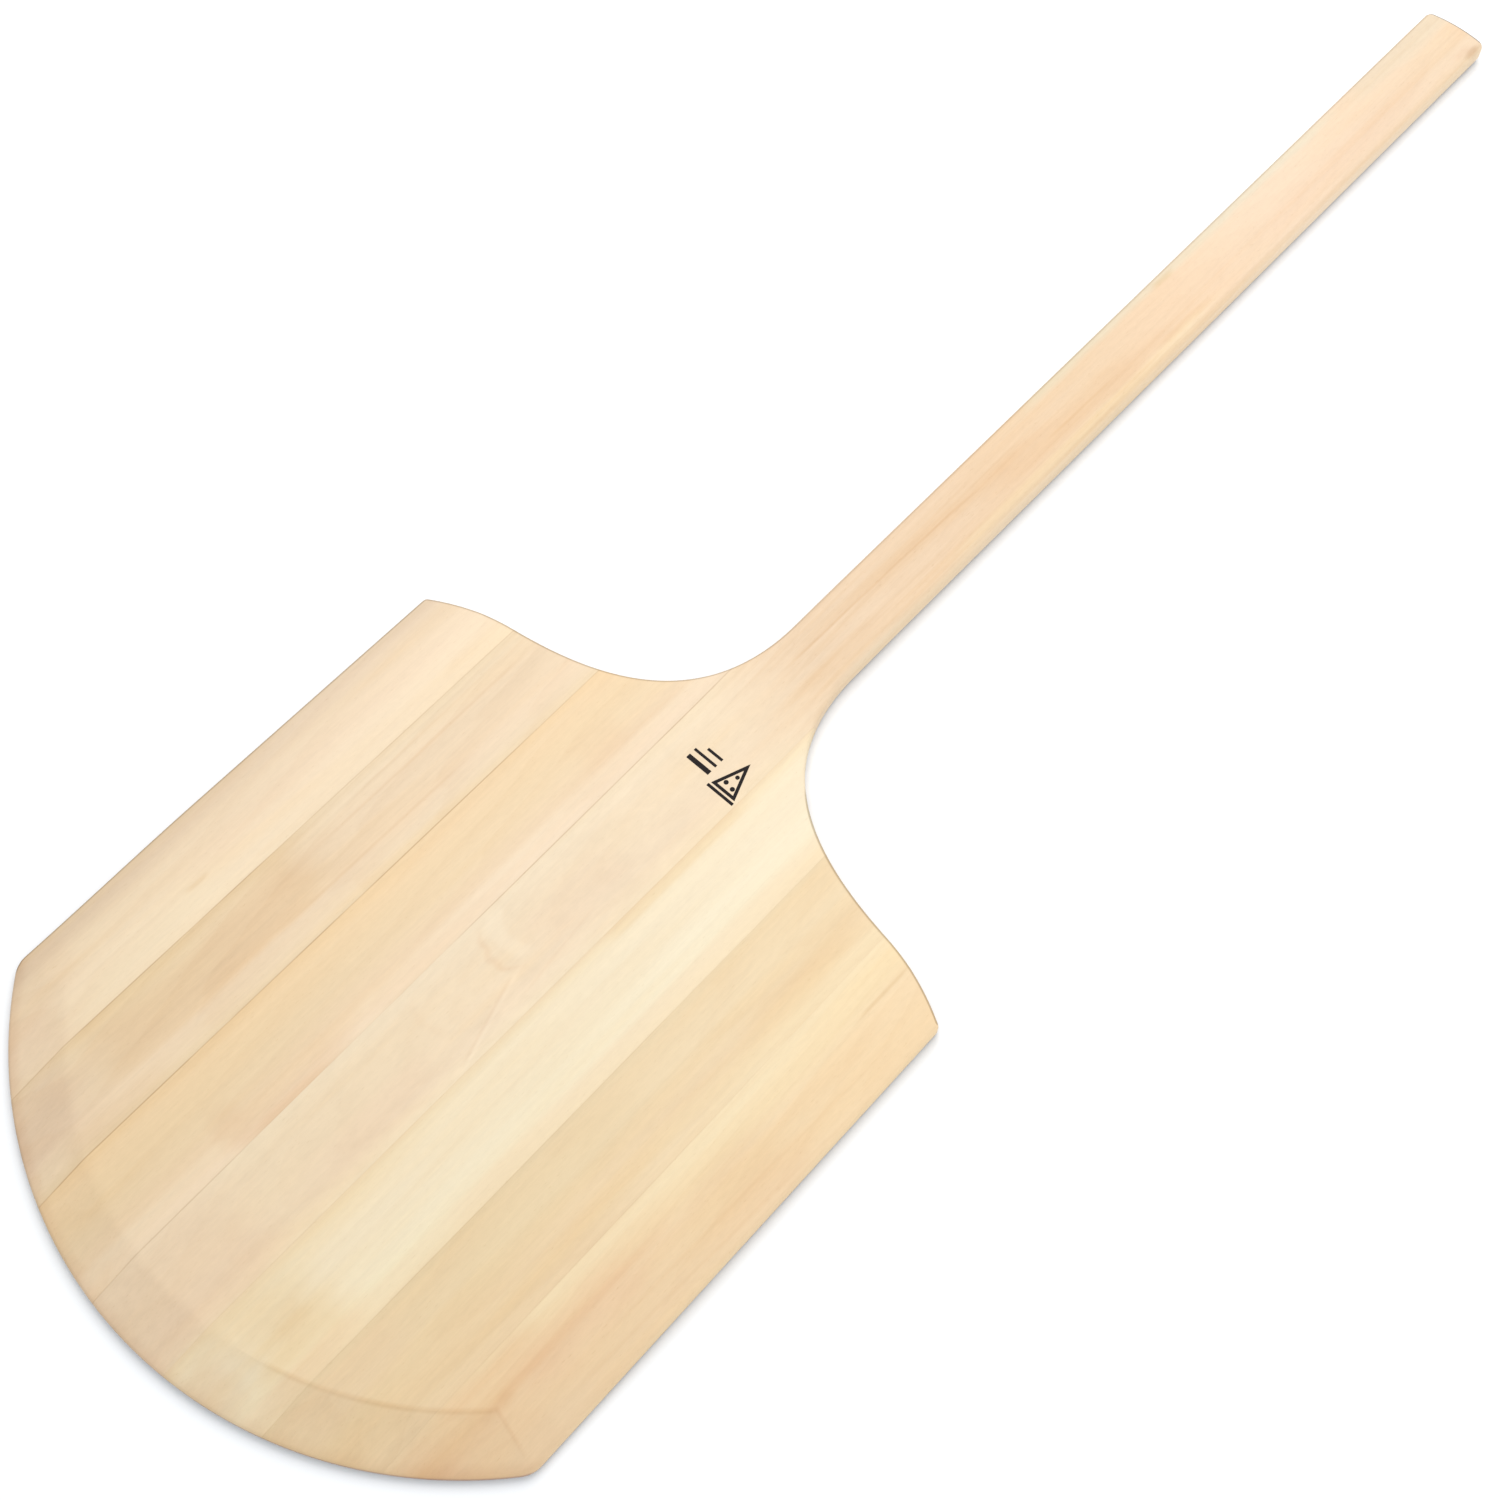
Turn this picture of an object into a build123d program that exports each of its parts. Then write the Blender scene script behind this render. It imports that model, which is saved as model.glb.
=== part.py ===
from build123d import *
import math
import os

# Wooden pizza peel: seven edge-glued staves with a flat underside. The middle stave runs on
# past the blade as the handle. Millimetres, +Z up, +Y from the blade's tip to the handle's
# end, +X to the right seen from above. The origin is on the underside, on the centre line,
# halfway along the whole length.

# Overall sizes
LENGTH = 1066.8
BLADE_WIDTH = 355.6
HANDLE_WIDTH = 41.2
DECK_THICKNESS = 10.0
HANDLE_THICKNESS = 14.0

# Plan outline. Until the finished pieces are placed, every Y is measured from the blade's tip.
TIP_RADIUS = 231.4
SHOULDER_RADIUS = 133.0
SHOULDER_END = (129.5, 378.1)
SHOULDER_END_SLOPE = math.radians(8.9)
NECK_END_Y = 478.4
NECK_PULL_OUTER = 45.4
NECK_PULL_INNER = 76.3
HANDLE_CROWN = 2.2

# Corners of the outline
FRONT_CORNER_RADIUS = 15.0
SHOULDER_CORNER_RADIUS = 3.0
HANDLE_CORNER_RADIUS = 5.0

# Along this stretch of the neck the top rises from the deck to the handle.
RISE_START_Y = 400.0
RISE_END_Y = 520.0

# Bevel planed along the front arc
FRONT_BEVEL_WIDTH = 28.0
FRONT_EDGE_THICKNESS = 5.0

# Gentle facet sanded along each side, from its crease out to the edge
FACET_CREASE_X = 148.0
FACET_SLOPE = 0.083

# Rounding of every outer edge
EDGE_RADIUS = 1.8

# Staves from left to right, and for the glue line between each two, its X level with the tip
# and its X at GLUE_TOP_Y: the staves on the left lean a little
STAVES = (
    "left_outer_stave",
    "left_middle_stave",
    "left_inner_stave",
    "handle_board",
    "right_inner_stave",
    "right_middle_stave",
    "right_outer_stave",
)
GLUE_LINES = (
    (-124.5, -128.2),
    (-75.0, -78.3),
    (-22.8, -27.1),
    (25.7, 26.8),
    (78.0, 78.3),
    (128.7, 128.5),
)
GLUE_TOP_Y = 400.0

# How far a cutting solid stands past the wood
SPARE = 20.0

# Coordinates closer than this are the same.
SAME_PLACE = 0.001

HALF_BLADE = BLADE_WIDTH / 2
HALF_HANDLE = HANDLE_WIDTH / 2


def arc_points(centre, radius, start, end):
    """Start, middle and end of an arc; its angles turn from +Y towards +X."""
    angles = (start, (start + end) / 2, end)
    return [(centre[0] + radius * math.sin(a), centre[1] + radius * math.cos(a)) for a in angles]


def front_arc():
    """Right half of the front edge, from the tip to the blade's side."""
    side_angle = math.pi - math.asin(HALF_BLADE / TIP_RADIUS)
    return arc_points((0, TIP_RADIUS), TIP_RADIUS, math.pi, side_angle)


def shoulder_arc():
    """Convex part of the right shoulder, from the blade's side towards the neck."""
    centre = (
        SHOULDER_END[0] - SHOULDER_RADIUS * math.sin(SHOULDER_END_SLOPE),
        SHOULDER_END[1] - SHOULDER_RADIUS * math.cos(SHOULDER_END_SLOPE),
    )
    side_angle = math.asin((HALF_BLADE - centre[0]) / SHOULDER_RADIUS)
    return arc_points(centre, SHOULDER_RADIUS, side_angle, SHOULDER_END_SLOPE)


def neck_points():
    """Control points of the curve that sweeps from the right shoulder into the handle."""
    pull_x = NECK_PULL_OUTER * math.cos(SHOULDER_END_SLOPE)
    pull_y = NECK_PULL_OUTER * math.sin(SHOULDER_END_SLOPE)
    return [
        SHOULDER_END,
        (SHOULDER_END[0] - pull_x, SHOULDER_END[1] + pull_y),
        (HALF_HANDLE, NECK_END_Y - NECK_PULL_INNER),
        (HALF_HANDLE, NECK_END_Y),
    ]


def right_outline():
    """Edges of the right half of the outline, from the tip to the end of the handle."""
    front = front_arc()
    shoulder = shoulder_arc()
    neck = neck_points()
    handle_corner = (HALF_HANDLE, LENGTH - HANDLE_CROWN)
    crown_middle = (HALF_HANDLE / 2, LENGTH - HANDLE_CROWN / 4)
    return [
        ThreePointArc(*front),
        Line(front[-1], shoulder[0]),
        ThreePointArc(*shoulder),
        Bezier(*neck),
        Line(neck[-1], handle_corner),
        ThreePointArc(handle_corner, crown_middle, (0, LENGTH)),
    ]


def corners(face, x, low_y, high_y):
    """The pair of corners at +x and -x that lie between two Y values."""
    return [v for v in face.vertices() if math.isclose(abs(v.X), x) and low_y < v.Y < high_y]


def outline_face():
    """The whole outline, with its corners rounded."""
    right = right_outline()
    left = [mirror(edge, about=Plane.YZ) for edge in right]
    face = make_face(right + left)
    face = fillet(corners(face, HALF_BLADE, 0, TIP_RADIUS), FRONT_CORNER_RADIUS)
    face = fillet(corners(face, HALF_BLADE, TIP_RADIUS, NECK_END_Y), SHOULDER_CORNER_RADIUS)
    return fillet(corners(face, HALF_HANDLE, NECK_END_Y + SPARE, LENGTH), HANDLE_CORNER_RADIUS)


def side_profile():
    """All that lies under the top surface: level deck, gentle rise, level handle."""
    rise_start = (RISE_START_Y, DECK_THICKNESS)
    rise_end = (RISE_END_Y, HANDLE_THICKNESS)
    rise_middle = (
        (RISE_START_Y + RISE_END_Y) / 2,
        (DECK_THICKNESS + HANDLE_THICKNESS) / 2,
    )
    edges = [
        TangentArc(rise_start, rise_middle, tangent=(1, 0)),
        TangentArc(rise_end, rise_middle, tangent=(-1, 0)),
        Polyline(
            rise_end,
            (LENGTH + SPARE, HANDLE_THICKNESS),
            (LENGTH + SPARE, 0),
            (-SPARE, 0),
            (-SPARE, DECK_THICKNESS),
            rise_start,
        ),
    ]
    return extrude(Plane.YZ * make_face(edges), amount=HALF_BLADE + SPARE, both=True)


def planed_section(width, slope):
    """Section of what is planed off the deck, with its crease at the origin and X outwards."""
    return make_face(Polyline((0, 0), (width, -slope * width), (width, SPARE), (0, SPARE), close=True))


def front_bevel():
    """What is planed off along the front arc: a ring, kept only where the arc is."""
    slope = (DECK_THICKNESS - FRONT_EDGE_THICKNESS) / FRONT_BEVEL_WIDTH
    crease_radius = TIP_RADIUS - FRONT_BEVEL_WIDTH
    section = Pos(crease_radius, DECK_THICKNESS) * planed_section(FRONT_BEVEL_WIDTH + SPARE, slope)
    ring = Pos(0, TIP_RADIUS) * revolve(Plane.XZ * section, axis=Axis.Z)
    size = 2 * (TIP_RADIUS + SPARE)
    return ring & Pos(0, TIP_RADIUS) * Box(size, size, size, align=(Align.CENTER, Align.MAX, Align.CENTER))


def side_facet(side):
    """What is sanded off one side of the deck; side is 1 for the right and -1 for the left."""
    width = HALF_BLADE - FACET_CREASE_X + SPARE
    section = Pos(FACET_CREASE_X, DECK_THICKNESS) * planed_section(width, FACET_SLOPE)
    facet = extrude(Plane.XZ * section, amount=-LENGTH)
    return facet if side > 0 else mirror(facet, about=Plane.YZ)


def is_upright(edge):
    """Whether an edge runs straight up."""
    run = edge.position_at(1) - edge.position_at(0)
    return math.hypot(run.X, run.Y) < SAME_PLACE


def rim_edges(blank):
    """Upper and lower edges all round the peel's upright walls."""
    walls = [face for face in blank.faces() if abs(face.normal_at(face.center()).Z) < SAME_PLACE]
    return [edge for wall in walls for edge in wall.edges() if not is_upright(edge)]


def peel_blank():
    """The whole peel as one glued and shaped piece, before it is divided into its staves."""
    blank = extrude(outline_face(), amount=HANDLE_THICKNESS) & side_profile()
    blank -= front_bevel()
    blank -= side_facet(1)
    blank -= side_facet(-1)
    return fillet(rim_edges(blank), EDGE_RADIUS)


def point_on(line, y):
    """Where a glue line is at some Y."""
    low_x, high_x = line
    return (low_x + (high_x - low_x) * y / GLUE_TOP_Y, y)


def strip(left, right):
    """Everything between two glue lines, from below the tip to past the handle's end."""
    low_y = -SPARE
    high_y = LENGTH + SPARE
    low_side = [point_on(left, low_y), point_on(right, low_y)]
    high_side = [point_on(right, high_y), point_on(left, high_y)]
    plan = make_face(Polyline(*low_side, *high_side, close=True))
    return extrude(plan, amount=HANDLE_THICKNESS + SPARE, both=True)


def staves():
    """Each stave by name: what the peel has between two neighbouring glue lines."""
    blank = peel_blank()
    outside = HALF_BLADE + SPARE
    limits = ((-outside, -outside), *GLUE_LINES, (outside, outside))
    return {name: blank & strip(left, right) for name, left, right in zip(STAVES, limits, limits[1:])}


def main():
    os.makedirs("parts", exist_ok=True)
    for name, piece in staves().items():
        placed = Pos(0, -LENGTH / 2) * piece
        placed.label = name
        export_step(placed, f"parts/{name}.step")


main()
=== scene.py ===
import math

import bmesh
import bpy
import numpy as np
from mathutils import Matrix, Vector, kdtree
from mathutils.geometry import delaunay_2d_cdt


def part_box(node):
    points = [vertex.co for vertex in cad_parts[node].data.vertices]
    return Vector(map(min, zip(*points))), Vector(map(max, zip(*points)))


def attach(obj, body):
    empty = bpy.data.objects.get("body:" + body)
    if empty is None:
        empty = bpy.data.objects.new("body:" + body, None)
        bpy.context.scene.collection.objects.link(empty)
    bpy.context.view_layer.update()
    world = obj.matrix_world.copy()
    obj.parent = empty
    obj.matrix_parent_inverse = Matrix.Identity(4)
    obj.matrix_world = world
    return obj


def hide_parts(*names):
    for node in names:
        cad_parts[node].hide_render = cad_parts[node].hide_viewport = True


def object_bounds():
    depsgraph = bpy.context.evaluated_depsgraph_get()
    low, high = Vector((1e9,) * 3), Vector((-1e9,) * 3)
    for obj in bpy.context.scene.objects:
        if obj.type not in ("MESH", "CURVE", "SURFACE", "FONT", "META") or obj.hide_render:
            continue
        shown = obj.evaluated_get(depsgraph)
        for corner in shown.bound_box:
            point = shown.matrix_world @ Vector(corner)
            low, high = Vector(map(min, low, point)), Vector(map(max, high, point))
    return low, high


# Wooden pizza peel on a white studio floor. Metres, in the row frame: +Z up, +Y from the
# blade's tip to the end of the handle, the underside at z = 0. Seven edge-glued staves are
# built as fine meshes in place of the CAD nodes, each with its own solid wood material.

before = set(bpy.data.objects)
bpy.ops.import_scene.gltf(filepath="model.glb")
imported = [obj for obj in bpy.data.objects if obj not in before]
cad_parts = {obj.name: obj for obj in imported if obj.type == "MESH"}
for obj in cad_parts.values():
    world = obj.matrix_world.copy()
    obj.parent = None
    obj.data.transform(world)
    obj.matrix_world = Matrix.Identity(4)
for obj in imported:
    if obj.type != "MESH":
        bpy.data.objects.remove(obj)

CAD_LOW, CAD_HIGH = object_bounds()
TIP_Y = CAD_LOW.y
END_Y = CAD_HIGH.y
HALF_BLADE = (CAD_HIGH.x - CAD_LOW.x) / 2
DECK_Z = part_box("right_middle_stave")[1].z
HANDLE_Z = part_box("handle_board")[1].z

MM = 0.001

# Plan outline, as the CAD staves have it; every "from the tip" distance is along +Y.
HALF_HANDLE = 20.6 * MM
TIP_RADIUS = 231.4 * MM
SHOULDER_RADIUS = 133 * MM
SHOULDER_END = (129.5 * MM, 378.1 * MM)
SHOULDER_SLOPE = math.radians(8.9)
NECK_END = 478.4 * MM
NECK_PULL_OUTER = 45.4 * MM
NECK_PULL_INNER = 76.3 * MM
HANDLE_CROWN = 2.2 * MM
FRONT_CORNER_RADIUS = 15 * MM
SHOULDER_CORNER_RADIUS = 3 * MM
HANDLE_CORNER_RADIUS = 5 * MM

# Top surface
RISE_START = 400 * MM
RISE_END = 520 * MM
BEVEL_WIDTH = 28 * MM
BEVEL_EDGE_Z = 5 * MM
CREASE_RADIUS = TIP_RADIUS - BEVEL_WIDTH
FACET_X = 148 * MM
FACET_START = 84 * MM
FACET_FADE_END = 200 * MM
FACET_SLOPE_START = 0.163
FACET_SLOPE_END = 0.058
MITRE_START_Y = TIP_Y + TIP_RADIUS - math.sqrt(CREASE_RADIUS ** 2 - FACET_X ** 2)
MITRE_END = (HALF_BLADE, TIP_Y + 84.6 * MM)
MITRE_SLOPE = (MITRE_START_Y - MITRE_END[1]) / (MITRE_END[0] - FACET_X)

# Rounding of the rim
BLADE_ROUNDING = 1.8 * MM
HANDLE_ROUNDING = 4.5 * MM

# Each glue line from left to right: its X level with the tip and its X at GLUE_TOP
GLUE_LINES = (
    (-124.5 * MM, -128.2 * MM),
    (-75 * MM, -78.3 * MM),
    (-22.8 * MM, -27.1 * MM),
    (25.7 * MM, 26.8 * MM),
    (78 * MM, 78.3 * MM),
    (128.7 * MM, 128.5 * MM),
)
GLUE_TOP = 400 * MM

# Mesh fineness
RIM_STEP = 2.2 * MM
CORNER_STEP = 0.7 * MM
CROWN_POINTS = 14
CURVE_SAMPLES = 400
ROUNDING_STEPS = 6
GRID_STEP = 4 * MM
CLEAR_OF_LINES = 1.4 * MM
SAME_POINT = 0.0001 * MM
ON_THE_RIM = 0.001 * MM
QUAD_LIMITS = {
    "angle_face_threshold": math.radians(5),
    "angle_shape_threshold": math.radians(50),
}
SHARP_ANGLE = math.radians(30)

# The bevel's crease is crisp to the right of this X and soft to its left.
CRISP_FROM_X = 40 * MM
SAME_PLACE = 0.02 * MM


# ---- outline

def arc(centre, radius, start, end, step):
    """Points along an arc; its angles turn from +X towards +Y."""
    count = max(3, int(abs(end - start) * radius / step) + 1)
    angles = np.linspace(start, end, count)
    return np.stack([centre[0] + radius * np.cos(angles), centre[1] + radius * np.sin(angles)], 1)


def straight(start, end, step):
    """Points along a straight run."""
    count = max(2, int(math.dist(start, end) / step) + 1)
    return np.linspace(start, end, count)


def bezier(p0, p1, p2, p3, step):
    """Points along a cubic curve, evenly spaced."""
    t = np.linspace(0, 1, CURVE_SAMPLES)[:, None]
    fine = (1 - t) ** 3 * p0 + 3 * (1 - t) ** 2 * t * p1 + 3 * (1 - t) * t ** 2 * p2 + t ** 3 * p3
    return respaced(fine, step)


def run_lengths(points):
    """Distance along a polyline at each of its points."""
    return np.concatenate([[0], np.cumsum(np.linalg.norm(np.diff(points, axis=0), axis=1))])


def respaced(points, step):
    """The same polyline with evenly spaced points."""
    along = run_lengths(points)
    wanted = np.linspace(0, along[-1], max(3, int(along[-1] / step) + 1))
    return np.stack([np.interp(wanted, along, points[:, k]) for k in (0, 1)], 1)


def trimmed(points, length, at_end):
    """A polyline with some length cut off one end, and its unit direction there."""
    if at_end:
        back, direction = trimmed(points[::-1], length, False)
        return back[::-1], -direction
    along = run_lengths(points)
    cut = np.array([np.interp(length, along, points[:, k]) for k in (0, 1)])
    kept = np.vstack([cut, points[along > length + CORNER_STEP / 2]])
    direction = kept[1] - kept[0]
    return kept, direction / np.linalg.norm(direction)


def rounded_join(first, second, radius):
    """Two polylines that meet at a corner, joined by a rounding of that radius."""
    into = first[-1] - first[-2]
    out = second[1] - second[0]
    cosine = into @ out / (np.linalg.norm(into) * np.linalg.norm(out))
    turn = math.acos(max(-1.0, min(1.0, cosine)))
    cut = radius * math.tan(turn / 2)
    first, into = trimmed(first, cut, True)
    second, out = trimmed(second, cut, False)
    pull = radius * math.tan(turn / 4) * 4 / 3
    corner = bezier(first[-1], first[-1] + into * pull, second[0] - out * pull, second[0], CORNER_STEP)
    return np.vstack([first, corner[1:-1], second])


def right_half():
    """The right half of the outline, from the tip round to the end of the handle."""
    side_angle = math.asin(HALF_BLADE / TIP_RADIUS)
    front = arc((0, TIP_RADIUS), TIP_RADIUS, -math.pi / 2, side_angle - math.pi / 2, RIM_STEP)
    slope = SHOULDER_SLOPE
    centre = (
        SHOULDER_END[0] - SHOULDER_RADIUS * math.sin(slope),
        SHOULDER_END[1] - SHOULDER_RADIUS * math.cos(slope),
    )
    shoulder_start = math.acos((HALF_BLADE - centre[0]) / SHOULDER_RADIUS)
    shoulder = arc(centre, SHOULDER_RADIUS, shoulder_start, math.pi / 2 - slope, RIM_STEP)
    side = straight(front[-1], shoulder[0], RIM_STEP)
    neck_start = np.array(SHOULDER_END)
    neck_end = np.array([HALF_HANDLE, NECK_END])
    outer_pull = NECK_PULL_OUTER * np.array([-math.cos(slope), math.sin(slope)])
    inner_pull = np.array([0, -NECK_PULL_INNER])
    neck = bezier(neck_start, neck_start + outer_pull, neck_end + inner_pull, neck_end, RIM_STEP)
    length = END_Y - TIP_Y
    handle = straight(neck[-1], (HALF_HANDLE, length - HANDLE_CROWN), RIM_STEP)
    across = np.linspace(1, 0, CROWN_POINTS)
    crown = np.stack([HALF_HANDLE * across, length - HANDLE_CROWN * across ** 2], 1)
    blade = rounded_join(front, side, FRONT_CORNER_RADIUS)
    blade = rounded_join(blade, shoulder, SHOULDER_CORNER_RADIUS)
    stem = np.vstack([neck[1:], handle[1:]])
    return np.vstack([blade, rounded_join(stem, crown, HANDLE_CORNER_RADIUS)])


def whole_outline():
    """The closed outline, counterclockwise from the tip, in the row frame."""
    right = right_half()
    left = right[-2:0:-1] * (-1, 1)
    return np.vstack([right, left]) + (0, TIP_Y)


def inward_normals(outline):
    """Unit normals that point into the wood at each point of the closed outline."""
    along = np.roll(outline, -1, axis=0) - np.roll(outline, 1, axis=0)
    along /= np.linalg.norm(along, axis=1)[:, None]
    return np.stack([-along[:, 1], along[:, 0]], 1)


# ---- heights

def smooth(t):
    """0 to 1 with level ends."""
    t = np.clip(t, 0, 1)
    return t * t * (3 - 2 * t)


def rise(y):
    """0 on the blade, 1 on the handle."""
    return smooth((y - TIP_Y - RISE_START) / (RISE_END - RISE_START))


def rounding(y):
    """Radius of the rim's rounding."""
    return BLADE_ROUNDING + (HANDLE_ROUNDING - BLADE_ROUNDING) * rise(y)


def top_height(x, y):
    """Height of the planed top before its rim is rounded."""
    deck = DECK_Z + (HANDLE_Z - DECK_Z) * rise(y)
    from_centre = np.hypot(x, y - TIP_Y - TIP_RADIUS)
    ahead = y - TIP_Y < TIP_RADIUS
    slope = (DECK_Z - BEVEL_EDGE_Z) / BEVEL_WIDTH
    bevel = np.where(ahead, DECK_Z - slope * (from_centre - CREASE_RADIUS), HANDLE_Z)
    fade = smooth((y - TIP_Y - FACET_START) / (FACET_FADE_END - FACET_START))
    facet_slope = FACET_SLOPE_START + (FACET_SLOPE_END - FACET_SLOPE_START) * fade
    facet = DECK_Z - facet_slope * (np.abs(x) - FACET_X)
    facet = np.where(np.abs(x) > FACET_X, facet, HANDLE_Z)
    return np.minimum(deck, np.minimum(bevel, facet))


# ---- plan

def glue_x(line, y):
    """X of a glue line at some Y."""
    return line[0] + (line[1] - line[0]) * (y - TIP_Y) / GLUE_TOP


def stave_limits():
    """The lines on both sides of each stave; the outermost ones are past the rim."""
    outside = 2 * HALF_BLADE
    return ((-outside, -outside), *GLUE_LINES, (outside, outside))


def nearest_of(others, points):
    """For each point, the nearest of the others: their numbers and the distances."""
    tree = kdtree.KDTree(len(others))
    for k, (x, y) in enumerate(others):
        tree.insert((x, y, 0), k)
    tree.balance()
    found = [tree.find((x, y, 0)) for x, y in points]
    return np.array([k for _, k, _ in found]), np.array([away for _, _, away in found])


def edge_distances(points, outline):
    """Distance of each point from the outline."""
    nearest, _ = nearest_of(outline, points)
    best = np.full(len(points), np.inf)
    for shift in (-1, 0):
        start = outline[(nearest + shift) % len(outline)]
        end = outline[(nearest + shift + 1) % len(outline)]
        run = end - start
        t = np.clip(((points - start) * run).sum(1) / (run * run).sum(1), 0, 1)
        best = np.minimum(best, np.linalg.norm(points - start - t[:, None] * run, axis=1))
    return best


def inside(points, polygon, chunk=4000):
    """Whether each point lies inside the closed polygon."""
    a = polygon
    b = np.roll(polygon, -1, axis=0)
    result = []
    for k in range(0, len(points), chunk):
        x = points[k:k + chunk, 0][:, None]
        y = points[k:k + chunk, 1][:, None]
        spans = (a[:, 1] > y) != (b[:, 1] > y)
        rise_y = np.where(spans, b[:, 1] - a[:, 1], 1)
        crossing = a[:, 0] + (y - a[:, 1]) * (b[:, 0] - a[:, 0]) / rise_y
        result.append((spans & (x < crossing)).sum(1) % 2 == 1)
    return np.concatenate(result)


def triangulated(loops, lines, loose):
    """Points and triangles over the span of closed loops, open lines and loose points."""
    points = []
    edges = []
    for run, closed in [(loop, True) for loop in loops] + [(line, False) for line in lines]:
        first = len(points)
        points.extend(run)
        edges.extend((k, k + 1) for k in range(first, len(points) - 1))
        if closed:
            edges.append((len(points) - 1, first))
    points = [Vector(p) for p in (*points, *loose)]
    points, _, triangles, *_ = delaunay_2d_cdt(points, edges, [], 0, SAME_POINT)
    return np.array([p[:] for p in points]), np.array([tuple(t) for t in triangles])


def crease_lines():
    """Where the bevel and the side facets start on the deck."""
    reach = math.asin(FACET_X / CREASE_RADIUS)
    tip = -math.pi / 2
    bevel = arc((0, TIP_Y + TIP_RADIUS), CREASE_RADIUS, tip - reach, tip + reach, GRID_STEP)
    lines = [bevel]
    for side, start in ((-1, bevel[0]), (1, bevel[-1])):
        top = TIP_Y + SHOULDER_END[1] - BEVEL_WIDTH
        lines.append(straight(start, (side * FACET_X, top), GRID_STEP))
        lines.append(straight(start, (side * MITRE_END[0], MITRE_END[1]), GRID_STEP)[:-1])
    return lines


def grid_points():
    """Points in even columns within each stave."""
    points = []
    limits = stave_limits()
    rows = np.arange(TIP_Y + GRID_STEP / 2, END_Y, GRID_STEP)
    for left, right in zip(limits, limits[1:]):
        for y in rows:
            x0 = max(glue_x(left, y), -HALF_BLADE)
            x1 = min(glue_x(right, y), HALF_BLADE)
            count = max(2, round((x1 - x0) / GRID_STEP))
            points.extend((x0 + (x1 - x0) * k / count, y) for k in range(1, count))
    return np.array(points)


def plan_mesh(outline):
    """Points, triangles and each point's distance from the rim, for the whole peel in plan."""
    normals = inward_normals(outline)
    radius = rounding(outline[:, 1])
    turns = np.linspace(0, math.pi / 2, ROUNDING_STEPS + 1)
    loops = [outline + normals * (radius * (1 - math.cos(turn)))[:, None] for turn in turns]
    rows = np.arange(TIP_Y - GRID_STEP, TIP_Y + NECK_END, GRID_STEP)
    lines = crease_lines() + [np.stack([glue_x(line, rows), rows], 1) for line in GLUE_LINES]
    grid = grid_points()
    grid = grid[inside(grid, outline)]
    grid = grid[edge_distances(grid, outline) > rounding(grid[:, 1]) + CLEAR_OF_LINES]
    grid = grid[nearest_of(np.vstack(lines), grid)[1] > CLEAR_OF_LINES]
    points, triangles = triangulated(loops, lines, grid)
    triangles = triangles[inside(points[triangles].mean(1), outline)]
    return points, triangles, edge_distances(points, outline)


# ---- staves

def link(obj):
    """The same object, placed in the scene."""
    bpy.context.scene.collection.objects.link(obj)
    return obj


def stave_mesh(name, points, triangles, distances):
    """A closed mesh of one stave: its top, its underside and the walls between them."""
    used, local = np.unique(triangles, return_inverse=True)
    local = local.reshape(triangles.shape)
    x, y = points[used].T
    distance = np.where(distances[used] < ON_THE_RIM, 0, distances[used])
    radius = rounding(y)
    short = np.clip(radius - distance, 0, None)
    drop = radius - np.sqrt(np.clip(radius ** 2 - short ** 2, 0, None))
    top = np.stack([x, y, top_height(x, y) - drop], 1)
    bottom = np.stack([x, y, drop], 1)
    count = len(used)
    edges = {}
    for a, b, c in local:
        for edge in ((a, b), (b, c), (c, a)):
            edges[edge] = edges.get(edge, 0) + 1
    walls = [(a, a + count, b + count, b) for a, b in edges if (b, a) not in edges]
    faces = [tuple(t) for t in local] + [tuple(t[::-1] + count) for t in local] + walls
    mesh = bpy.data.meshes.new(name)
    mesh.from_pydata(np.vstack([top, bottom]).tolist(), [], faces)
    rim = mesh.attributes.new("rim_distance", "FLOAT", "POINT")
    rim.data.foreach_set("value", np.tile(distance, 2).astype(np.float32))
    return edited(mesh, join_into_quads)


def edited(mesh, change):
    """The same mesh after a change to its bmesh."""
    bm = bmesh.new()
    bm.from_mesh(mesh)
    change(bm)
    bm.to_mesh(mesh)
    bm.free()
    return mesh


def join_into_quads(bm):
    """Pairs of triangles become quads."""
    triangles = [f for f in bm.faces if len(f.verts) == 3]
    bmesh.ops.join_triangles(bm, faces=triangles, **QUAD_LIMITS)


def sharpen_crease(mesh):
    """The right half of the bevel's crease, and the mitre that runs on from it, stay crisp."""
    places = np.empty(len(mesh.vertices) * 3)
    mesh.vertices.foreach_get("co", places)
    x, y, z = places.reshape(-1, 3).T
    on_crease = np.abs(np.hypot(x, y - TIP_Y - TIP_RADIUS) - CREASE_RADIUS) < SAME_PLACE
    on_mitre = np.abs(y - MITRE_START_Y + MITRE_SLOPE * (x - FACET_X)) < SAME_PLACE
    crisp = (on_crease & (x > CRISP_FROM_X) & (x < FACET_X)) | (on_mitre & (x > FACET_X))
    crisp |= on_crease & (np.abs(x - FACET_X) < SAME_PLACE)
    crisp &= (z > BEVEL_EDGE_Z) & (y < TIP_Y + TIP_RADIUS)
    for edge in mesh.edges:
        if crisp[edge.vertices[0]] and crisp[edge.vertices[1]]:
            edge.use_edge_sharp = True


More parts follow.
